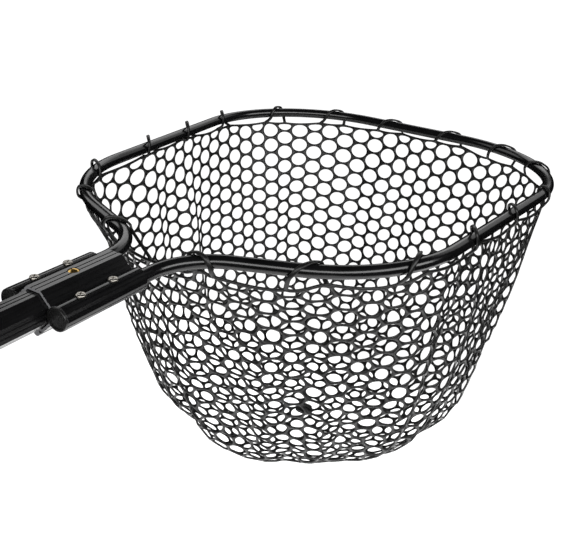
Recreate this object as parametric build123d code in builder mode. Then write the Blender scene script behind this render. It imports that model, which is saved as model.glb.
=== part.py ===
"""Landing net with a handle that slides through its yoke.

The origin is on the handle's axis where the hand holds it. +X runs along the handle towards the hoop's tip,
+Y to the left and +Z up. The hoop lies in the plane Z = 0 and the net bag hangs below it. Millimetres.
"""

import os
from math import cos, radians, sin

from build123d import *

os.makedirs("parts", exist_ok=True)

# Handle: an octagonal fluted tube
handle_length = 914.0
hand_to_rear = 150.0
handle_flats = 31.75
handle_wall = 1.6
handle_rear_x = -hand_to_rear
handle_front_x = handle_rear_x + handle_length
handle_inside = handle_flats - 2 * handle_wall

# Yoke: one ribbed extrusion, an octagonal channel between two round sockets
yoke_length = 96.0
yoke_front_x = handle_front_x + 2.0
yoke_rear_x = yoke_front_x - yoke_length
channel_flats = 38.0
channel_inside = 33.05
socket_y = 26.8
socket_radius = 11.0
bead_radius = 3.5

# Flutes: narrow grooves that leave flat lands between them
groove_depth = 0.6
groove_width = 1.3

# Hoop: one bent round tube
hoop_tube_radius = 7.15
hoop_wall = 1.5
hoop_end_x = yoke_rear_x + 4.0
hoop_datum_x = handle_front_x + 20.0
arm_corner = (hoop_datum_x + 44.5, socket_y)
shoulder_corner = (hoop_datum_x + 133.0, 221.0)
tip_corner = (hoop_datum_x + 679.0, 276.4)
arm_bend = 76.0
shoulder_bend = 180.0
tip_bend = 180.0

# Snap buttons: one locks the handle in use, the other when it is slid forward
button_x = yoke_rear_x + 44.5
handle_travel = 620.0
button_radius = 5.0
button_travel = 4.3
button_top = 20.6
button_dome = 2.2
flange_radius = 6.2
flange_height = 1.3
spring_thickness = 0.8
spring_width = 9.0

# Hoop screws: number 10 pan heads, two through each socket
screw_spacing = 38.5
screw_head_radius = 4.65
screw_head_height = 2.7
screw_shank_radius = 2.4
screw_seat_z = socket_radius - 0.7

# Net: a moulded rubber bag on loops round the hoop
rim_z = -20.0
strand_radius = 1.7
bag_depth = 360.0
bag_wall = 1.0
bag_rear_x = hoop_datum_x + 52.0
bag_centre_x = hoop_datum_x + 385.0
bag_half_length = 294.0
bag_half_width = 262.0
loop_count = 18
loop_first = 185.0
loop_spacing = 103.0
loop_thickness = 2.0
loop_width = 3.2

# End cap with a lanyard eye
cap_flats = 36.5
cap_grip = 38.0
cap_end = 7.0
eye_radius = 3.5
eye_thickness = 12.0
eye_height = 22.0
eye_reach = 15.0

ALONG = Plane.YZ  # sketches here have Y across, Z up and +X towards the viewer


def octagon(flats):
    """A regular octagon that stands on a flat, by its width across flats."""
    return RegularPolygon(flats / 2, 8, major_radius=False, rotation=22.5)


def flat_grooves(flats, faces, per_face=2, pitch=4.2):
    """Lengthwise grooves in the named faces of an octagon, counted from the right-hand one."""
    for face in faces:
        angle = 45 * face
        for n in range(per_face):
            side = (n - (per_face - 1) / 2) * pitch
            x = flats / 2 * cos(radians(angle)) - side * sin(radians(angle))
            y = flats / 2 * sin(radians(angle)) + side * cos(radians(angle))
            with Locations((x, y)):
                Rectangle(2 * groove_depth, groove_width, rotation=angle, mode=Mode.SUBTRACT)


def tube_grooves(centre, first, last, count):
    """Lengthwise grooves round a socket, between two angles from its right-hand side."""
    for n in range(count):
        angle = first + (last - first) * n / (count - 1)
        x = centre + socket_radius * cos(radians(angle))
        y = socket_radius * sin(radians(angle))
        with Locations((x, y)):
            Rectangle(2 * groove_depth, 0.9, rotation=angle, mode=Mode.SUBTRACT)


def save(part, name):
    part.label = name
    export_step(part, f"parts/{name}.step")


# ---------------------------------------------------------------- handle

with BuildPart() as handle_tube:
    with BuildSketch(ALONG.offset(handle_rear_x)):
        octagon(handle_flats)
        flat_grooves(handle_flats, range(8), pitch=4.3)
        with BuildSketch(mode=Mode.SUBTRACT):
            octagon(handle_inside)
    extrude(amount=handle_length)
    with BuildSketch(Plane.XY):
        with Locations((button_x, 0), (button_x - handle_travel, 0)):
            Circle(button_radius + 0.15)
    extrude(amount=handle_flats, mode=Mode.SUBTRACT)
save(handle_tube.part, "handle_tube")

plug_stem = 12.0
plug_flange = 2.5
with BuildPart() as handle_front_plug:
    with BuildSketch(ALONG.offset(handle_front_x)):
        octagon(handle_flats)
    extrude(amount=plug_flange, taper=12)
    with BuildSketch(ALONG.offset(handle_front_x - plug_stem)):
        octagon(handle_inside - 0.1)
    extrude(amount=plug_stem)
save(handle_front_plug.part, "handle_front_plug")

with BuildPart() as handle_end_cap:
    with BuildSketch(ALONG.offset(handle_rear_x - cap_end)):
        octagon(cap_flats)
    extrude(amount=cap_end + cap_grip)
    cap_ends = handle_end_cap.faces().filter_by(Axis.X)
    fillet(cap_ends.sort_by(Axis.X)[0].edges(), 3)
    chamfer(cap_ends.sort_by(Axis.X)[-1].edges(), 0.8)
    with BuildSketch(ALONG.offset(handle_rear_x)):
        octagon(handle_flats + 0.1)
    extrude(amount=cap_grip + 1, mode=Mode.SUBTRACT)
    eye_x = handle_rear_x - cap_end - eye_reach + eye_height / 2
    with BuildSketch(Plane.XZ.offset(-eye_thickness / 2)):
        with Locations((eye_x, 0)):
            Circle(eye_height / 2)
        with Locations((eye_x + eye_height / 4, 0)):
            Rectangle(eye_height / 2, eye_height)
    extrude(amount=eye_thickness)
    with BuildSketch(Plane.XZ.offset(-cap_flats)):
        with Locations((eye_x - 3, 0)):
            Circle(eye_radius)
    extrude(amount=2 * cap_flats, mode=Mode.SUBTRACT)
save(handle_end_cap.part, "handle_end_cap")


# ---------------------------------------------------------------- snap buttons

pin_top = button_top - button_dome
flange_top = handle_inside / 2 - 1.1
dome_radius = (button_radius**2 + button_dome**2) / (2 * button_dome)


def make_button(x, name):
    """A domed brass pin with a flange that stops it against the inside of the handle."""
    with BuildPart() as button:
        with BuildSketch(Plane.XZ):
            with BuildLine():
                Polyline(
                    (x, button_top),
                    (x, flange_top - flange_height),
                    (x + flange_radius, flange_top - flange_height),
                    (x + flange_radius, flange_top),
                    (x + button_radius, flange_top),
                    (x + button_radius, pin_top),
                )
                RadiusArc((x + button_radius, pin_top), (x, button_top), -dome_radius)
            make_face()
        revolve(axis=Axis((x, 0, 0), (0, 0, 1)))
    save(button.part, name)


def make_spring(x, name):
    """A folded leaf of spring steel, between the button and the handle's floor."""
    upper = flange_top - flange_height - 0.05 - spring_thickness / 2
    lower = -handle_inside / 2 + 0.05 + spring_thickness / 2
    bend = (upper - lower) / 2
    fold = x - 34
    with BuildPart() as spring:
        with BuildSketch(Plane.XZ.offset(-spring_width / 2)):
            with BuildLine():
                Line((x + 7, upper), (fold, upper))
                RadiusArc((fold, upper), (fold, lower), -bend)
                Line((fold, lower), (x + 2, lower))
            trace(line_width=spring_thickness)
        extrude(amount=spring_width)
    save(spring.part, name)


make_button(button_x, "lock_button")
make_button(button_x - handle_travel, "stow_button")
make_spring(button_x, "lock_button_spring")
make_spring(button_x - handle_travel, "stow_button_spring")


# ---------------------------------------------------------------- yoke

sides = {"left": 1, "right": -1}
screw_xs = [button_x - screw_spacing / 2, button_x + screw_spacing / 2]
socket_bore = hoop_tube_radius + 0.08

with BuildPart() as yoke:
    with BuildSketch(ALONG.offset(yoke_rear_x)):
        octagon(channel_flats)
        with Locations((socket_y, 0), (-socket_y, 0)):
            Circle(socket_radius)
        with Locations((0, -channel_flats / 2 - bead_radius + 1.0)):
            Circle(bead_radius)
        flat_grooves(channel_flats, (1, 2, 3, 5, 7), pitch=5.3)
        tube_grooves(socket_y, -115, 115, 13)
        tube_grooves(-socket_y, 65, 295, 13)
        with BuildSketch(mode=Mode.SUBTRACT):
            octagon(channel_inside)
            with Locations((socket_y, 0), (-socket_y, 0)):
                Circle(socket_bore)
    extrude(amount=yoke_length)
    with BuildSketch(Plane.XY):
        with Locations((button_x, 0)):
            Circle(button_radius + 0.3)
        with Locations(*[(x, socket_y * side) for x in screw_xs for side in sides.values()]):
            Circle(screw_shank_radius)
    extrude(amount=channel_flats, mode=Mode.SUBTRACT)
    with BuildSketch(Plane.XY.offset(screw_seat_z)):
        with Locations(*[(x, socket_y * side) for x in screw_xs for side in sides.values()]):
            Circle(screw_head_radius + 0.1)
    extrude(amount=5, mode=Mode.SUBTRACT)
save(yoke.part, "yoke")


def make_screws(side, name):
    """The two pan-head screws of one socket, each with a cross recess."""
    with BuildPart() as screws:
        places = [(x, socket_y * side) for x in screw_xs]
        with BuildSketch(Plane.XY.offset(hoop_tube_radius - hoop_wall - 2.0)):
            with Locations(*places):
                Circle(screw_shank_radius)
        extrude(amount=screw_seat_z - hoop_tube_radius + hoop_wall + 2.0)
        with BuildSketch(Plane.XY.offset(screw_seat_z)):
            with Locations(*places):
                Circle(screw_head_radius)
        extrude(amount=screw_head_height)
        tops = screws.faces().filter_by(Axis.Z).group_by(Axis.Z)[-1]
        fillet(tops.edges(), 1.6)
        with BuildSketch(Plane.XY.offset(screw_seat_z + screw_head_height)):
            with Locations(*places):
                Rectangle(4.8, 1.1, rotation=35)
                Rectangle(4.8, 1.1, rotation=125)
        extrude(amount=-1.7, taper=10, mode=Mode.SUBTRACT)
    save(screws.part, name)


socket_plug_flange = 2.6
socket_plug_stem = 16.0


def make_socket_plug(side, name):
    """The plastic plug that closes a socket's rear end, with its stem inside the hoop tube."""
    with BuildPart() as plug:
        with BuildSketch(ALONG.offset(yoke_rear_x - socket_plug_flange)):
            with Locations((socket_y * side, 0)):
                Circle(socket_radius - 0.2)
        extrude(amount=socket_plug_flange)
        rear_face = plug.faces().sort_by(Axis.X)[0]
        fillet(rear_face.edges(), 0.9)
        with BuildSketch(ALONG.offset(yoke_rear_x - socket_plug_flange)):
            with Locations((socket_y * side, 0)):
                Circle(socket_radius - 2.4)
        extrude(amount=0.6, mode=Mode.SUBTRACT)
        with BuildSketch(ALONG.offset(yoke_rear_x)):
            with Locations((socket_y * side, 0)):
                Circle(hoop_tube_radius - hoop_wall - 0.05)
        extrude(amount=socket_plug_stem)
    save(plug.part, name)


for side_name, side in sides.items():
    make_screws(side, f"hoop_screws_{side_name}")
    make_socket_plug(side, f"socket_plug_{side_name}")


# ---------------------------------------------------------------- hoop


def mirrored(points):
    """The points of the left half, then their mirror images back to the start."""
    return points + [(x, -y) for x, y in reversed(points)]


hoop_corners = mirrored([(hoop_end_x, socket_y), arm_corner, shoulder_corner, tip_corner])
hoop_bends = [arm_bend, shoulder_bend, tip_bend, tip_bend, shoulder_bend, arm_bend]

with BuildPart() as hoop:
    with BuildLine() as hoop_line:
        FilletPolyline(*hoop_corners, radius=hoop_bends)
    hoop_path = hoop_line.wire()
    with BuildSketch(Plane(origin=hoop_path @ 0, z_dir=hoop_path % 0)):
        Circle(hoop_tube_radius)
        Circle(hoop_tube_radius - hoop_wall, mode=Mode.SUBTRACT)
    sweep(path=hoop_path)
    with BuildSketch(Plane.XY):
        with Locations(*[(x, socket_y * side) for x in screw_xs for side in sides.values()]):
            Circle(screw_shank_radius)
    extrude(amount=2 * hoop_tube_radius, mode=Mode.SUBTRACT)
save(hoop.part, "hoop")


# ---------------------------------------------------------------- net

# The left half of the bag's outline, at its rim and as a circle's tangents of unit radius further down
rim_half = [(bag_rear_x, 50.0), shoulder_corner, tip_corner]
round_half = [(-1.0, 0.22), (-0.67, 0.94), (1.0, 1.11)]
rim_radii = [60.0, shoulder_bend, tip_bend]


def bag_section(share, inset=0.0):
    """The bag's outline at a share of its depth: the hoop's shape at the rim, nearly round lower down."""
    closing = (1 - share**7) ** 0.4
    rounding = share**0.4
    length = bag_half_length * (1 - 0.27 * share) * closing - inset
    width = bag_half_width * (1 - 0.18 * share) * closing - inset
    half = []
    for (rim_x, rim_y), (round_x, round_y) in zip(rim_half, round_half):
        along = (1 - rounding) * (rim_x - bag_centre_x) / bag_half_length + rounding * round_x
        across = (1 - rounding) * rim_y / bag_half_width + rounding * round_y
        half.append((bag_centre_x + along * length, across * width))
    radii = [r + (0.93 * min(length, width) - r) * rounding for r in rim_radii]
    with BuildSketch(Plane.XY.offset(rim_z - bag_depth * share + inset * (share > 0))) as section:
        with BuildLine():
            FilletPolyline(*mirrored(half), radius=radii + radii[::-1], close=True)
        make_face()
    return section


bag_levels = (0, 0.12, 0.3, 0.55, 0.78, 0.9, 0.96, 0.985)

with BuildPart() as bag_inside:
    for level in bag_levels:
        add(bag_section(level, bag_wall).sketch)
    loft(ruled=True)

with BuildPart() as net_bag:
    for level in bag_levels:
        add(bag_section(level).sketch)
    loft(ruled=True)
    add(bag_inside.part, mode=Mode.SUBTRACT)
save(net_bag.part, "net_bag")

rim_path = bag_section(0, bag_wall / 2).sketch.face().outer_wire()
with BuildPart() as net_rim:
    with BuildSketch(Plane(origin=rim_path @ 0, z_dir=rim_path % 0)):
        Circle(strand_radius)
    sweep(path=rim_path)
save(net_rim.part, "net_rim")


def loop_outline(grow):
    """A loop's outline in its own plane, round the hoop tube above and the rim strand below."""
    with BuildSketch() as outline:
        Circle(hoop_tube_radius + grow)
        with Locations((0, rim_z)):
            Circle(strand_radius + grow)
        make_hull()
    return outline.sketch


with BuildPart() as net_loops:
    for n in range(loop_count):
        at = (loop_first + loop_spacing * n) / hoop_path.length
        along = hoop_path % at
        with BuildSketch(Plane(origin=hoop_path @ at, x_dir=(-along.Y, along.X, 0), z_dir=along)):
            add(loop_outline(loop_thickness + 0.15))
            add(loop_outline(0.15), mode=Mode.SUBTRACT)
        extrude(amount=loop_width / 2, both=True)
save(net_loops.part, "net_loops")
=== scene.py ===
"""A rubber landing net: the look of its parts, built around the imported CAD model.

Everything is in metres, in the model's own frame: +X runs along the handle to the
hoop's tip, +Y to the left and +Z up, out of the bag's mouth.
"""

from math import atan2, cos, exp, pi, radians, sin

import bmesh
import bpy
import numpy as np
from mathutils import Matrix, Vector, geometry
from mathutils.bvhtree import BVHTree


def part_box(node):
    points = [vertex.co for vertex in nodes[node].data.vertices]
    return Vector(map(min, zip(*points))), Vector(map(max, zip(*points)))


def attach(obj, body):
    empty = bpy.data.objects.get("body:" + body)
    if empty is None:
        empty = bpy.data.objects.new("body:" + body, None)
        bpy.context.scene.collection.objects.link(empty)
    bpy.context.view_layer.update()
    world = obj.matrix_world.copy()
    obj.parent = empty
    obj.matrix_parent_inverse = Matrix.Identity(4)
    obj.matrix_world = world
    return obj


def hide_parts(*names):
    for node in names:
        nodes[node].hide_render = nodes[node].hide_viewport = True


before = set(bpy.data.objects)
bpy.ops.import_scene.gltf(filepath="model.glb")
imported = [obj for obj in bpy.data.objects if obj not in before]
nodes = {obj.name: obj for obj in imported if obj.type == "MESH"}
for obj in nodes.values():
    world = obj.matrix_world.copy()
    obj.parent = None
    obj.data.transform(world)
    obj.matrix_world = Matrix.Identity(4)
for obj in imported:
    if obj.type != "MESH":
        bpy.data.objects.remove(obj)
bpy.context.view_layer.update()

# ---------------------------------------------------------------- driving sizes

# The net is hung from the hoop by loops. Four columns of cells hang between two loops.
loop_count = 18
loop_first = 0.169  # along the hoop's centreline, from its end in the right-hand socket
loop_spacing = 0.1044
# How far each loop's column of cells stands from its even place.
loop_shifts_mm = (0, 5, 15, 27, 26, 17, 30, 16, 6, -6, 0, 0, -5, -10, -13, 17, 3, 0)
# Each band: its middle along the hoop, how far its inner foot stands further on, how far the
# crossing over the tube is pushed along, and the height of its top above the tube's middle.
band_middles_mm = (165, 268, 382, 502, 609, 708, 827, 913, 1008,
                   1108, 1209, 1308, 1417, 1516, 1617, 1747, 1835, 1942)
band_spreads_mm = (-12, 20, 20, 19, 14, 11, 27, 24, 22, 22, 19.5, 17.5, 15, 19, 19, 15, 18, 26)
band_pushes_mm = (-3, 4, 2, -13, -12, 0, -4, -2, -3, -2, -2, 0, 4, 5, 4, 0, 0, 0)
band_tops_mm = (10, 9, 12, 14, 12.5, 8.7, 9, 9, 9, 8.7, 8.7, 10, 13, 15, 15, 13, 9, 9)
# The rim strand's depth below the hoop at each band's outer and inner foot.
outer_feet_mm = (17, 22.5, 17.5, 17, 19.6, 22, 19.7, 16.7, 10.4, 9.6, 14, 17, 12.5, 10, 9, 11, 13, 16)
inner_feet_mm = (11, 13, 12, 12, 15, 20, 18.9, 18, 10.5, 12, 14.9, 15, 13.4, 7, 10, 13, 15, 17)
columns_per_loop = 4

cell_height = 0.0228
wall_end = 0.52  # columns stand upright this share of the way down, and rings of cells follow
bottom_cell_width = 0.0245
bottom_ring_step = 0.93  # cell heights
relax_passes = 30
strand_width = 0.0038
rear_strand_width = 0.0030  # on the wall behind the yoke
strand_thickness = 0.0028
hole_inset = 0.56  # strand widths
deepest_inset = 0.45  # share of the way to the cell's middle
rim_radius = 0.0017
rim_sag = 0.003  # between two feet
full_sag_gap = 0.035  # share of the way round; feet closer together than this sag less
handle_pass_z = -0.0205  # the rim's rear span hangs at least this low, for the handle to slide over
bag_middle = Vector((1.165, 0.0, 0.0))

fold_waves = ((18, 0.55, 0.10, 0.35), (11, 0.45, 0.62, -0.8), (27, 0.30, 0.30, 0.7))
fold_height = 0.0085

around = 432  # columns of the fine grid that the net's cells are laid on
down = 72  # its rows, from the rim to the knot
wall_samples = 56
bottom_samples = 14
smoothing_passes = 8


# ---------------------------------------------------------------- small helpers


def smooth(low, high, x):
    """0 below low, 1 above high, and a smooth step between."""
    t = np.clip((x - low) / (high - low), 0.0, 1.0)
    return t * t * (3 - 2 * t)


def tree_of(node):
    mesh = nodes[node].data
    return BVHTree.FromPolygons([v.co for v in mesh.vertices], [p.vertices for p in mesh.polygons])


def make_object(name, verts, faces):
    mesh = bpy.data.meshes.new(name)
    mesh.from_pydata([tuple(v) for v in verts], [], faces)
    bm = bmesh.new()
    bm.from_mesh(mesh)
    bmesh.ops.recalc_face_normals(bm, faces=bm.faces)
    bm.to_mesh(mesh)
    bm.free()
    mesh.shade_smooth()
    piece = bpy.data.objects.new(name, mesh)
    bpy.context.scene.collection.objects.link(piece)
    return piece


def sweep(path, ups, section, closed):
    """Rings of a section (side, up) carried along a path, and the faces between them."""
    n, m = len(path), len(section)
    verts, faces = [], []
    for i in range(n):
        ahead = path[(i + 1) % n] if closed or i < n - 1 else path[i]
        behind = path[i - 1] if closed or i > 0 else path[i]
        along = (ahead - behind).normalized()
        side = along.cross(ups[i]).normalized()
        up = side.cross(along)
        verts += [path[i] + side * a + up * b for a, b in section]
    for i in range(n if closed else n - 1):
        j = (i + 1) % n
        for k in range(m):
            q = (k + 1) % m
            faces.append((i * m + k, i * m + q, j * m + q, j * m + k))
    if not closed:
        faces.append(tuple(range(m)))
        faces.append(tuple((n - 1) * m + k for k in reversed(range(m))))
    return verts, faces


def ellipse(half_width, half_height, count, power=2.0):
    """A closed section: an ellipse, or with a higher power a rounded rectangle."""
    out = []
    for k in range(count):
        c, s = cos(2 * pi * k / count), sin(2 * pi * k / count)
        scale = (abs(c) ** power + abs(s) ** power) ** (-1 / power)
        out.append((half_width * c * scale, half_height * s * scale))
    return out


def even_steps(points, count):
    """A closed row of points divided evenly along its length, from its first point."""
    loop = np.vstack([points, points[:1]])
    length = np.concatenate([[0], np.cumsum(np.linalg.norm(np.diff(loop, axis=0), axis=1))])
    wanted = np.arange(count) / count * length[-1]
    return np.stack([np.interp(wanted, length, loop[:, k]) for k in range(3)], 1)


# ---------------------------------------------------------------- the hoop's centreline

tube_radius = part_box("hoop")[1].z
hoop_directions = 720
widest_crossing = 3.15 * tube_radius  # a ray that stays inside for longer runs along an arm


def hoop_centreline():
    """Points along the middle of the hoop's tube, from the right-hand socket round to the left."""
    tree = tree_of("hoop")
    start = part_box("hoop")[0].x
    points = []
    for k in range(1, hoop_directions):
        angle = pi + 2 * pi * k / hoop_directions
        way = Vector((cos(angle), sin(angle), 0))
        inner = tree.ray_cast(bag_middle, way)[0]
        if inner is None:
            continue
        outer = tree.ray_cast(bag_middle + way * 2, -way)[0]
        if (outer - inner).length < widest_crossing:
            points.append((inner + outer) / 2)
    arm = abs(points[0].y)
    right_end = Vector((start, -arm, 0))
    left_end = Vector((start, arm, 0))
    return [right_end] + points + [left_end]


hoop = np.array(hoop_centreline())
hoop_stations = np.concatenate([[0], np.cumsum(np.linalg.norm(np.diff(hoop, axis=0), axis=1))])


def hoop_at(station):
    return Vector([float(np.interp(station, hoop_stations, hoop[:, k])) for k in range(3)])


loop_stations = [
    loop_first + n * loop_spacing + shift / 1000 for n, shift in enumerate(loop_shifts_mm)
]


# ---------------------------------------------------------------- the net's surface


def bag_meridians():
    """The bag's smooth shape: rows from the rim down to the knot, each with a point per direction."""
    tree = tree_of("net_bag")
    low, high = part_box("net_bag")
    wall_z = np.linspace(high.z - 0.0005, low.z + 0.0012, wall_samples)
    rows = []
    for k in range(around):
        angle = pi + 2 * pi * k / around
        way = Vector((cos(angle), sin(angle), 0))
        radii = [tree.ray_cast(Vector((bag_middle.x, 0, z)), way)[3] for z in wall_z]
        inward = np.linspace(radii[-1], 0, bottom_samples)[1:]
        line = np.stack([
            np.concatenate([radii, inward]),
            np.concatenate([wall_z, np.full(len(inward), wall_z[-1])]),
        ], 1)
        for _ in range(smoothing_passes):
            line[1:-1] = (line[:-2] + 2 * line[1:-1] + line[2:]) / 4
        length = np.concatenate([[0], np.cumsum(np.linalg.norm(np.diff(line, axis=0), axis=1))])
        wanted = np.linspace(0, length[-1], down + 1)
        r, z = (np.interp(wanted, length, line[:, q]) for q in (0, 1))
        rows.append(np.stack([bag_middle.x + r * way.x, r * way.y, z], 1))
    return np.array(rows).transpose(1, 0, 2)


def fold(row, share):
    """The row with the soft upright folds that a slack net hangs in, evenly divided again."""
    row = even_steps(row, around)
    depth = smooth(0.02, 0.26, share) * (1 - smooth(0.5, 0.74, share))
    place = np.arange(around) / around
    wave = sum(w * np.cos(2 * pi * (m * place + p + q * share)) for m, w, p, q in fold_waves)
    along = np.roll(row, -1, 0) - np.roll(row, 1, 0)
    out = np.stack([along[:, 1], -along[:, 0], 0 * place], 1)
    out /= np.maximum(np.linalg.norm(out, axis=1, keepdims=True), 1e-9)
    return even_steps(row + out * (depth * fold_height * (wave - 0.5))[:, None], around)


# Where the rubber bellies out: a middle, a reach and a push.
bellies = (
    ((0.985, -0.010, -0.325), 0.055, (-0.008, 0.0, -0.011)),
    ((0.985, 0.130, -0.290), 0.055, (-0.006, 0.004, -0.006)),
    ((1.230, -0.150, -0.325), 0.110, (0.009, -0.005, -0.008)),
    ((1.130, -0.140, -0.345), 0.090, (0.0, -0.003, -0.005)),
)


def belly(rows):
    """The rows pushed softly out at the bellies."""
    out = rows.copy()
    for middle, reach, push in bellies:
        away = np.linalg.norm(rows - np.array(middle), axis=2) / reach
        out += np.exp(-away * away)[..., None] * np.array(push)
    return out


base = belly(bag_meridians())
net = np.array([fold(row, k / down) for k, row in enumerate(base[:-1])] + [base[-1]])
rim = net[0].copy()
loop_places = [
    int(np.argmin(np.linalg.norm(rim[:, :2] - np.array(hoop_at(s))[:2], axis=1))) / around
    for s in loop_stations
]


def foot_places():
    """Where each band's two feet stand on the rim, and the rim's height there."""
    feet = []
    for n in range(loop_count):
        for side, depth in ((-1, outer_feet_mm[n]), (1, inner_feet_mm[n])):
            spot = hoop_at((band_middles_mm[n] + side * band_spreads_mm[n]) / 1000)
            place = int(np.argmin(np.linalg.norm(rim[:, :2] - np.array(spot)[:2], axis=1))) / around
            feet.append((place, -depth / 1000))
    return sorted(feet)


def lift_rim():
    """Sets the net's upper edge to its height at each foot; between feet it sags."""
    feet = foot_places()
    height = np.zeros(around)
    for (place, here), (following, there) in zip(feet, feet[1:] + feet[:1]):
        gap = (following - place) % 1
        for i in range(around):
            t = (i / around - place) % 1 / max(gap, 1e-6)
            if t <= 1:
                ease = t * t * (3 - 2 * t)
                sag = rim_sag * min(1.0, gap / full_sag_gap)
                height[i] = here + (there - here) * ease - sag * sin(pi * t) ** 0.8
    behind = (rim[:, 0] < bag_middle.x) * (1 - smooth(0.020, 0.048, np.abs(rim[:, 1])))
    height += np.minimum(handle_pass_z - height, 0) * behind
    rise = height - rim[:, 2]
    for k in range(down):
        net[k, :, 2] += rise * (1 - smooth(0.0, 0.14, k / down))


lift_rim()
row_step = np.linalg.norm(np.diff(net, axis=0), axis=2).mean()
net_length = row_step * down
row_girth = np.linalg.norm(np.roll(net, -1, 1) - net, axis=2).sum(1)


def disc_radii():
    """Each row's radius on a flat disc that shows the net's surface without shear."""
    radii, total = [1.0], 0.0
    for k in range(down - 1):
        total += row_step * 2 * pi / ((row_girth[k] + row_girth[k + 1]) / 2)
        radii.append(exp(-total))
    return np.array(radii + [0.0])


disc = disc_radii()


def net_point(place, share):
    """The surface's point at a share of the way round and a share of the way down."""
    k = min(int(share * down), down - 1)
    t = share * down - k
    i = int(place * around) % around
    u = place * around % 1
    j = (i + 1) % around
    upper = net[k, i] * (1 - u) + net[k, j] * u
    lower = net[k + 1, i] * (1 - u) + net[k + 1, j] * u
    return upper * (1 - t) + lower * t


def disc_point(place, share):
    r = float(np.interp(share * down, np.arange(down + 1), disc))
    return r * cos(2 * pi * place), r * sin(2 * pi * place)


def surface_tree():
    """The surface as triangles, with each corner's place on the flat disc."""
    points, flat, triangles = [], [], []
    for k in range(down):
        for i in range(around):
            points.append(Vector(net[k, i]))
            turn = 2 * pi * i / around
            flat.append(Vector((disc[k] * cos(turn), disc[k] * sin(turn), 0)))
    points.append(Vector(net[down, 0]))
    flat.append(Vector((0, 0, 0)))
    for k in range(down - 1):
        for i in range(around):
            a, b = k * around + i, k * around + (i + 1) % around
            triangles += [(a, b, b + around), (a, b + around, a + around)]
    last_row, knot = (down - 1) * around, len(points) - 1
    for i in range(around):
        triangles.append((last_row + i, last_row + (i + 1) % around, knot))
    return BVHTree.FromPolygons(points, triangles), points, flat, triangles


# ---------------------------------------------------------------- the net's cells


def column_places():
    """Where each column of cells hangs, four from each loop to the next."""
    out = []
    for n, c in enumerate(loop_places):
        following = loop_places[(n + 1) % loop_count]
        gap = (following - c) % 1
        out += [(c + gap * q / columns_per_loop) % 1 for q in range(columns_per_loop)]
    return out


def cell_centres():
    """Centres of the cells: upright columns on the walls, rings on the rounded bottom."""
    pitch = cell_height / net_length
    centres, is_top = [], []
    for k, place in enumerate(column_places()):
        full = k % 2 == 0
        shares = [] if full else [0.12 * pitch]
        share = (0.5 if full else 1.0) * pitch
        while share < wall_end:
            shares.append(share)
            share += pitch
        centres += [(place, s) for s in shares]
        is_top += [s < 1.2 * pitch for s in shares]
    ring = 0
    share = wall_end + 0.55 * pitch
    while share < 1 - 0.8 * pitch:
        girth = float(np.interp(share * down, np.arange(down), row_girth[:down]))
        count = max(5, round(girth / bottom_cell_width))
        centres += [((j + 0.5 * (ring % 2)) / count, share) for j in range(count)]
        is_top += [False] * count
        share += bottom_ring_step * pitch
        ring += 1
    return centres, is_top, wall_end - 2.6 * pitch


def mirrored(spot):
    """A place on the flat disc, reflected outwards across the disc's rim."""
    return Vector(spot) / Vector(spot).length_squared


def triangulate(flat, top):
    """Triangles between neighbouring cell centres. Cells at the rim are mirrored across it,
    so that the rim runs between each and its own image."""
    images = [k for k, at_top in enumerate(top) if at_top]
    spots = [Vector(p) for p in flat] + [mirrored(flat[k]) for k in images]
    owner = list(range(len(flat))) + images
    result = geometry.delaunay_2d_cdt(spots, [], [], 0, 1e-9)
    first = [ids[0] for ids in result[3]]
    return [tuple(first[v] for v in face) for face in result[2]], owner


def relax(flat, solid, free, top, tree, points, disc_places, triangles):
    """Evens out the free cells: each moves to the middle of its neighbours, on the surface."""
    for _ in range(relax_passes):
        links = [set() for _ in flat]
        found, owner = triangulate(flat, top)
        for face in found:
            ids = [owner[v] for v in face]
            for a in ids:
                links[a].update(b for b in ids if b != a)
        moved = list(solid)
        for k in free:
            middle = sum((solid[q] for q in links[k]), Vector()) / len(links[k])
            spot, _, face, _ = tree.find_nearest(middle)
            corners = triangles[face]
            moved[k] = spot
            flat[k] = tuple(geometry.barycentric_transform(
                spot, *[points[v] for v in corners], *[disc_places[v] for v in corners]))[:2]
        solid[:] = moved


def net_cells():
    """Each cell as a ring of corner numbers, and each corner's point, normal and rim place."""
    centres, top, first_free = cell_centres()
    tree, points, disc_places, triangles = surface_tree()
    flat = [disc_point(*c) for c in centres]
    solid = [Vector(net_point(*c)) for c in centres]
    free = [k for k, c in enumerate(centres) if c[1] > first_free]
    relax(flat, solid, free, top, tree, points, disc_places, triangles)
    found, owner = triangulate(flat, top)
    corners, corner_of, around_cell = [], {}, [[] for _ in centres]
    for face in found:
        ids = [owner[v] for v in face]
        if all(v >= len(centres) for v in face):
            continue
        key = frozenset(ids)
        if len(key) < 2:
            continue
        if key not in corner_of:
            corner_of[key] = len(corners)
            if len(key) == 2:
                corners.append(rim_corner(*sorted(key, key=lambda k: centres[k][1]), centres))
            else:
                middle = sum((solid[k] for k in ids), Vector()) / 3
                spot, normal, _, _ = tree.find_nearest(middle)
                corners.append((spot, normal, None))
        flat_spots = [Vector(flat[v]) if v < len(centres) else mirrored(flat[owner[v]]) for v in face]
        middle = sum(flat_spots, Vector((0, 0))) / 3
        for v in face:
            if v < len(centres):
                spoke = middle - Vector(flat[v])
                around_cell[v].append((atan2(spoke.y, spoke.x), corner_of[key]))
    rings = []
    for spokes in around_cell:
        ring = [c for _, c in sorted(spokes)]
        ring = [c for k, c in enumerate(ring) if c != ring[k - 1]]
        if len(ring) >= 4:
            rings.append(ring)
    return rings, corners


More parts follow.
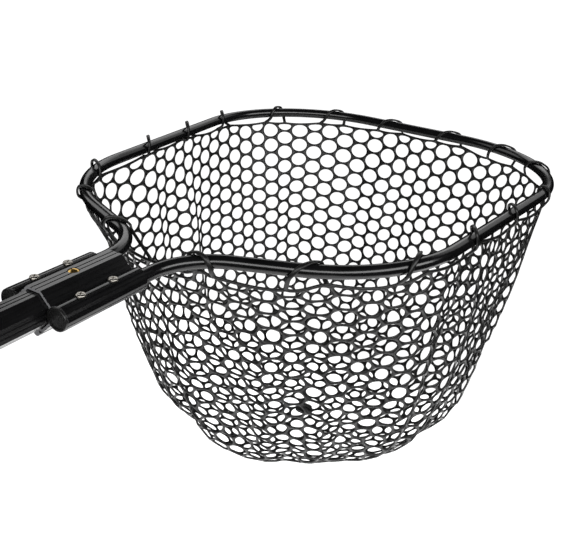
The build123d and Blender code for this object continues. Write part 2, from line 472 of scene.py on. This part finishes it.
def rim_corner(half, full, centres):
    """The point on the rim between a half cell and the full cell beside it."""
    a, b = centres[half][0], centres[full][0]
    place = (a + ((b - a + 0.5) % 1 - 0.5) * 0.62) % 1
    spot = Vector(net_point(place, 0))
    along = Vector(net_point((place + 0.002) % 1, 0)) - Vector(net_point((place - 0.002) % 1, 0))
    below = Vector(net_point(place, 0.02)) - spot
    return spot, along.cross(below).normalized(), place


def strand_width_at(spot):
    share = float(smooth(0.88, 1.06, spot.x))
    return rear_strand_width + (strand_width - rear_strand_width) * share


def build_net():
    """The moulded mesh: round-edged strands between the cells, thick at their joints."""
    rings, corners = net_cells()
    verts, faces, shared = [], [], {}

    def strand(a, b, quarter):
        """The strand's upper vertex, point and normal, some quarters of the way from a to b."""
        if quarter == 0:
            key = (a, a, 0)
        elif a < b:
            key = (a, b, quarter)
        else:
            key = (b, a, 4 - quarter)
        if key not in shared:
            t = quarter / 4
            spot = corners[a][0].lerp(corners[b][0], t)
            normal = corners[a][1].lerp(corners[b][1], t).normalized()
            place_a, place_b = corners[a][2], corners[b][2]
            if place_a is not None and place_b is not None:
                turn = (place_b - place_a + 0.5) % 1 - 0.5
                spot = Vector(net_point((place_a + turn * t) % 1, 0))
            verts.append(spot + normal * strand_thickness / 2)
            verts.append(spot - normal * strand_thickness / 2)
            shared[key] = (len(verts) - 2, spot, normal)
        return shared[key]

    for ring in rings:
        n = len(ring)
        centre = sum((corners[c][0] for c in ring), Vector()) / n
        inset = []
        for c in ring:
            way = centre - corners[c][0]
            width = strand_width_at(corners[c][0])
            reach = min(width * hole_inset, way.length * deepest_inset)
            inset.append(corners[c][0] + way.normalized() * reach)
        outer, hole = [], []
        for k in range(n):
            before, here, after = ring[k - 1], ring[k], ring[(k + 1) % n]
            edge_in = (inset[k - 1] + inset[k]) / 2
            edge_out = (inset[k] + inset[(k + 1) % n]) / 2
            steps = [strand(before, here, 2), strand(before, here, 3),
                     strand(here, here, 0), strand(here, after, 1)]
            for q, step in enumerate(steps):
                t = q / 4
                spot = edge_in * (1 - t) ** 2 + inset[k] * 2 * t * (1 - t) + edge_out * t * t
                edge = step[2] * strand_thickness * 0.2
                verts.append(spot + edge)
                verts.append(spot - edge)
                outer.append(step[0])
                hole.append(len(verts) - 2)
        m = len(outer)
        for k in range(m):
            q = (k + 1) % m
            a, b, c, d = outer[k], outer[q], hole[q], hole[k]
            faces += [(a, b, c, d), (d + 1, c + 1, b + 1, a + 1), (d, c, c + 1, d + 1)]
    add_rim_edge(faces)
    return make_object("net_mesh", verts, faces)


def add_rim_edge(faces):
    """Closes the net's upper edge, where no second cell shares the strand."""
    uses = {}
    for face in faces:
        for k, v in enumerate(face):
            pair = (v, face[(k + 1) % len(face)])
            uses[frozenset(pair)] = uses.get(frozenset(pair), []) + [pair]
    open_edges = [pairs[0] for pairs in uses.values() if len(pairs) == 1]
    for a, b in open_edges:
        if a % 2 == 0 and b % 2 == 0:
            faces.append((b, a, a + 1, b + 1))


def build_rim():
    """The thicker round strand along the net's upper edge."""
    path = [Vector(p) for p in net[0]]
    ups = [Vector((0, 0, 1))] * len(path)
    verts, faces = sweep(path, ups, ellipse(rim_radius, rim_radius, 10), True)
    return make_object("net_rim_strand", verts, faces)


def curve_through(points, steps):
    """A smooth curve through the points."""
    out = []
    for k in range(len(points) - 1):
        a, b = points[max(k - 1, 0)], points[k]
        c, d = points[k + 1], points[min(k + 2, len(points) - 1)]
        for q in range(steps):
            t = q / steps
            out.append(0.5 * (2 * b + (c - a) * t + (2 * a - 5 * b + 4 * c - d) * t * t
                              + (3 * b - a - 3 * c + d) * t ** 3))
    return out + [points[-1]]


def rim_near(point):
    flat = np.linalg.norm(net[0][:, :2] - np.array(point)[:2], axis=1)
    return Vector(net[0][int(np.argmin(flat))])


band = ellipse(0.0024, 0.0014, 14, 3.0)
curve_steps = 5

# A band's way over the tube: shares of its spread, then outward and upward in millimetres.
over_tube = ((0.82, -7.6, -8.0), (0.66, -9.3, -1.0), (0.45, -7.0, 6.3), (0.0, 0.0, 9.3),
             (-0.5, 7.0, 6.3), (-0.74, 9.3, -1.0), (-0.86, 7.6, -8.0))
lowest_crossing = -8.0
highest_crossing = 9.3

rear_foot = (0.837, 0.018)  # the last band's inner leg runs on to here, behind the yoke


def build_loops():
    """The moulded bands that wind over the tube, from one side of the rim to the other."""
    verts, faces = [], []
    for n in range(loop_count):
        middle, spread, push = band_middles_mm[n], band_spreads_mm[n], band_pushes_mm[n]
        lift = max(band_tops_mm[n] - highest_crossing, 0.0) / 1000
        outer_foot = rim_near(hoop_at((middle - spread) / 1000))
        if n < loop_count - 1:
            points, way = [rim_near(hoop_at((middle + spread) / 1000))], over_tube
        else:
            points, way = [rim_near(rear_foot)], over_tube[1:]
        ups = []
        for share, outward, z in way:
            crossing = (z - lowest_crossing) / (highest_crossing - lowest_crossing)
            place = (middle + spread * share + push * crossing) / 1000
            here = hoop_at(place)
            along = (hoop_at(place + 0.004) - hoop_at(place - 0.004)).normalized()
            out = along.cross(Vector((0, 0, 1)))
            points.append(here + out * outward / 1000 + Vector((0, 0, z / 1000 + lift * crossing)))
            ups.append(out * outward + Vector((0, 0, max(z, 0.0) + 0.5)))
        points.append(outer_foot)
        ups = [ups[0]] + ups + [ups[-1]]
        path = curve_through(points, curve_steps)
        directions = [u.normalized() for u in curve_through(ups, curve_steps)]
        v, f = sweep(path, directions, band, False)
        faces += [tuple(q + len(verts) for q in face) for face in f]
        verts += v
    return make_object("net_hanging_loops", verts, faces)


knot_half = (0.012, 0.013, 0.0045)
knot_ribs = 2.5
knot_rib_depth = 0.10


def build_knot():
    """The small ribbed lump that the bag's bottom is gathered into."""
    low = Vector(net[down, 0])
    rows, cols = 13, 40
    verts, faces = [], []
    for r in range(rows):
        tilt = -pi / 2 + pi * (r + 0.5) / rows
        for c in range(cols):
            turn = 2 * pi * c / cols
            x, y, z = cos(tilt) * cos(turn), cos(tilt) * sin(turn), sin(tilt)
            ribs = 1 + knot_rib_depth * cos(2 * pi * knot_ribs * x)
            spot = Vector((knot_half[0] * x, knot_half[1] * y, knot_half[2] * z))
            verts.append(low + spot * ribs)
    for r in range(rows - 1):
        for c in range(cols):
            q = (c + 1) % cols
            faces.append((r * cols + c, r * cols + q, (r + 1) * cols + q, (r + 1) * cols + c))
    faces.append(tuple(range(cols)))
    faces.append(tuple((rows - 1) * cols + c for c in reversed(range(cols))))
    return make_object("net_knot", verts, faces)


# ---------------------------------------------------------------- materials


class Material:
    """A material's node tree, with short calls for the few nodes used here."""

    def __init__(self, name, **values):
        self.made = bpy.data.materials.new(name)
        self.made.use_nodes = True
        self.tree = self.made.node_tree
        self.shader = self.tree.nodes["Principled BSDF"]
        for word, value in values.items():
            socket = word.replace("_", " ").title().replace("Ior", "IOR")
            self.shader.inputs[socket].default_value = value

    def node(self, kind, **settings):
        made = self.tree.nodes.new(kind)
        for key, value in settings.items():
            setattr(made, key, value)
        return made

    def link(self, source, target):
        self.tree.links.new(source, target)

    def where(self):
        return self.node("ShaderNodeTexCoord").outputs["Object"]

    def stretched(self, scale):
        mapping = self.node("ShaderNodeMapping")
        mapping.inputs["Scale"].default_value = scale
        self.link(self.where(), mapping.inputs["Vector"])
        return mapping.outputs["Vector"]

    def noise(self, size, detail=3.0, stretch=(1, 1, 1)):
        """Noise whose features are about size metres across."""
        texture = self.node("ShaderNodeTexNoise")
        texture.inputs["Scale"].default_value = 1 / size
        texture.inputs["Detail"].default_value = detail
        self.link(self.stretched(stretch), texture.inputs["Vector"])
        return texture.outputs["Fac"]

    def ramp(self, source, low, high, from_low=0.3, from_high=0.7):
        """Maps a value to numbers, or to colours, between low and high."""
        if isinstance(low, tuple):
            made = self.node("ShaderNodeValToRGB")
            made.color_ramp.elements[0].position = from_low
            made.color_ramp.elements[0].color = (*low, 1)
            made.color_ramp.elements[1].position = from_high
            made.color_ramp.elements[1].color = (*high, 1)
            self.link(source, made.inputs["Fac"])
            return made.outputs["Color"]
        made = self.node("ShaderNodeMapRange")
        limits = {"From Min": from_low, "From Max": from_high, "To Min": low, "To Max": high}
        for socket, value in limits.items():
            made.inputs[socket].default_value = value
        self.link(source, made.inputs["Value"])
        return made.outputs["Result"]

    def colour(self, source):
        self.link(source, self.shader.inputs["Base Color"])

    def roughness(self, source):
        self.link(source, self.shader.inputs["Roughness"])

    def bump(self, source, height, strength=1.0):
        made = self.node("ShaderNodeBump")
        made.inputs["Strength"].default_value = strength
        made.inputs["Distance"].default_value = height
        self.link(source, made.inputs["Height"])
        self.link(made.outputs["Normal"], self.shader.inputs["Normal"])


def anodised(name, low, high, rough):
    """Black anodised aluminium: satin, with faint drawing lines along the part."""
    m = Material(name, metallic=0.0, specular_ior_level=0.35)
    lines = m.noise(0.0012, 4.0, (0.03, 1, 1))
    cloud = m.noise(0.03, 2.0)
    m.colour(m.ramp(cloud, low, high))
    m.roughness(m.ramp(lines, rough - 0.03, rough + 0.05))
    m.bump(lines, 0.00001)
    return m


def rubber(name, low, high, rough, size):
    """Moulded rubber with a faint skin texture."""
    m = Material(name, metallic=0.0, specular_ior_level=0.25)
    skin = m.noise(size, 4.0)
    m.colour(m.ramp(m.noise(0.02, 2.0), low, high))
    m.roughness(m.ramp(skin, rough - 0.07, rough + 0.09))
    m.bump(skin, 0.00012)
    return m


def plated(name, low, high, rough):
    """Polished or plated metal with fine turning marks."""
    m = Material(name, metallic=1.0)
    marks = m.noise(0.0006, 3.0)
    m.colour(m.ramp(m.noise(0.004, 2.0), low, high))
    m.roughness(m.ramp(marks, rough - 0.05, rough + 0.08))
    m.bump(marks, 0.00001)
    return m


def cut_ends(m, cut_colour):
    """Bare metal where the extrusion was sawn across, on the faces that look along X."""
    split = m.node("ShaderNodeSeparateXYZ")
    m.link(m.node("ShaderNodeTexCoord").outputs["Normal"], split.inputs["Vector"])
    size = m.node("ShaderNodeMath", operation="ABSOLUTE")
    m.link(split.outputs["X"], size.inputs[0])
    share = m.ramp(size.outputs["Value"], 0.0, 1.0, 0.9, 0.98)
    mix = m.node("ShaderNodeMix", data_type="RGBA")
    old = m.shader.inputs["Base Color"].links[0].from_socket
    m.link(share, mix.inputs["Factor"])
    m.link(old, mix.inputs["A"])
    mix.inputs["B"].default_value = (*cut_colour, 1)
    m.link(mix.outputs["Result"], m.shader.inputs["Base Color"])


def dress(node, material):
    """Gives a kept CAD node its material."""
    piece = nodes[node]
    if not piece.material_slots:
        piece.data.materials.append(material.made)
    for slot in piece.material_slots:
        slot.link = "DATA"
        slot.material = material.made


# ---------------------------------------------------------------- studio

lens_mm = 49.94
view_angles = (-60.1, 24.6, 4.1)  # azimuth, elevation and roll
view_target = (0.8684, -0.1143, 0.0)
view_distance = 0.7407

surround_strength = 1.12
floor_z = -0.95
floor_half = 1.15
floor_middle_x = 1.05
floor_grey = ((0.93, 0.93, 0.93), (0.95, 0.95, 0.95))

# Each softbox: its name, azimuth, elevation, distance, size and power.
softboxes = (
    ("rear_softbox", -70, 24, 2.6, (2.2, 1.0), 50),
    ("front_softbox", -10, 24, 2.6, (3.4, 1.0), 85),
    ("right_softbox", 74, 29, 2.8, (1.5, 1.3), 6),
    ("far_softbox", 120, 32, 3.2, (3.0, 1.3), 24),
    ("left_softbox", -165, 29, 2.8, (2.4, 1.8), 26),
)


def backward(azimuth, elevation):
    """From what is looked at back to the viewer or the light; azimuth 0 looks along +Y."""
    az, el = radians(azimuth), radians(elevation)
    return Vector((sin(az) * cos(el), -cos(az) * cos(el), sin(el)))


def look_at(piece, azimuth, elevation, roll, target, distance):
    """Stands a camera off its target."""
    turn = radians(roll)
    back = backward(azimuth, elevation)
    right = (-back).cross(Vector((0, 0, 1))).normalized()
    up = right.cross(-back)
    across = right * cos(turn) + up * sin(turn)
    upward = up * cos(turn) - right * sin(turn)
    spot = Vector(target) + back * distance
    piece.matrix_world = Matrix((
        (across.x, upward.x, back.x, spot.x),
        (across.y, upward.y, back.y, spot.y),
        (across.z, upward.z, back.z, spot.z),
        (0, 0, 0, 1),
    ))


def add_camera():
    data = bpy.data.cameras.new("camera")
    data.sensor_width = 36.0
    data.lens = lens_mm
    data.clip_start = 0.01
    camera = bpy.data.objects.new("camera", data)
    bpy.context.scene.collection.objects.link(camera)
    look_at(camera, *view_angles, view_target, view_distance)
    bpy.context.scene.camera = camera


def add_softbox(name, azimuth, elevation, distance, size, power):
    """A rectangular light, off the middle of the net in a camera-like direction."""
    target = Vector((floor_middle_x, 0.0, -0.1))
    back = backward(azimuth, elevation)
    data = bpy.data.lights.new(name, "AREA")
    data.shape = "RECTANGLE"
    data.size, data.size_y = size
    data.energy = power
    light = bpy.data.objects.new(name, data)
    bpy.context.scene.collection.objects.link(light)
    light.location = target + back * distance
    light.rotation_euler = back.to_track_quat("Z", "Y").to_euler()
    light.visible_camera = False


def add_floor():
    left, right = floor_middle_x - floor_half, floor_middle_x + floor_half
    corners = [(left, -floor_half, floor_z), (right, -floor_half, floor_z),
               (right, floor_half, floor_z), (left, floor_half, floor_z)]
    floor = make_object("floor", corners, [(0, 1, 2, 3)])
    m = Material("floor_paint", roughness=0.9)
    m.colour(m.ramp(m.noise(0.4, 2.0), *floor_grey))
    floor.data.materials.append(m.made)


def add_studio():
    """A white surround that lights softly, and softboxes that the gloss shows."""
    world = bpy.data.worlds.new("studio")
    world.use_nodes = True
    background = world.node_tree.nodes["Background"]
    background.inputs["Color"].default_value = (1, 1, 1, 1)
    background.inputs["Strength"].default_value = surround_strength
    world.cycles_visibility.glossy = False
    bpy.context.scene.world = world
    bpy.context.scene.view_settings.view_transform = "Standard"
    add_floor()
    for softbox in softboxes:
        add_softbox(*softbox)


# ---------------------------------------------------------------- the object

net_rubber = rubber("black_net_rubber", (0.002, 0.002, 0.002), (0.004, 0.004, 0.004), 0.36, 0.0012)
replaced = (
    (build_net(), ("net_bag",)),
    (build_rim(), ("net_rim",)),
    (build_loops(), ("net_loops",)),
    (build_knot(), ()),
)
for piece, cad_nodes in replaced:
    piece.data.materials.append(net_rubber.made)
    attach(piece, "head")
    if cad_nodes:
        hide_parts(*cad_nodes)

anodised_black = ((0.0012, 0.0012, 0.0013), (0.0024, 0.0024, 0.0026))
handle_finish = anodised("black_anodised_handle", *anodised_black, 0.20)
hoop_finish = anodised("black_anodised_hoop", *anodised_black, 0.17)
yoke_finish = anodised("black_anodised_yoke", *anodised_black, 0.20)
cut_ends(yoke_finish, (0.09, 0.09, 0.093))
plastic = rubber("black_moulded_plastic", (0.003, 0.003, 0.003), (0.005, 0.005, 0.005), 0.28, 0.0006)
cap_rubber = rubber("black_cap_rubber", (0.004, 0.004, 0.004), (0.007, 0.007, 0.007), 0.62, 0.0009)
brass = plated("polished_brass", (0.46, 0.28, 0.07), (0.58, 0.38, 0.12), 0.26)
nickel = plated("nickel_plate", (0.20, 0.19, 0.17), (0.30, 0.28, 0.25), 0.26)
steel = plated("spring_strip", (0.42, 0.42, 0.42), (0.56, 0.56, 0.56), 0.35)

for node, material in (
    ("handle_tube", handle_finish), ("hoop", hoop_finish), ("yoke", yoke_finish),
    ("handle_front_plug", plastic), ("socket_plug_left", plastic), ("socket_plug_right", plastic),
    ("handle_end_cap", cap_rubber), ("lock_button", brass), ("stow_button", brass),
    ("hoop_screws_left", nickel), ("hoop_screws_right", nickel),
    ("lock_button_spring", steel), ("stow_button_spring", steel),
):
    dress(node, material)

add_camera()
add_studio()
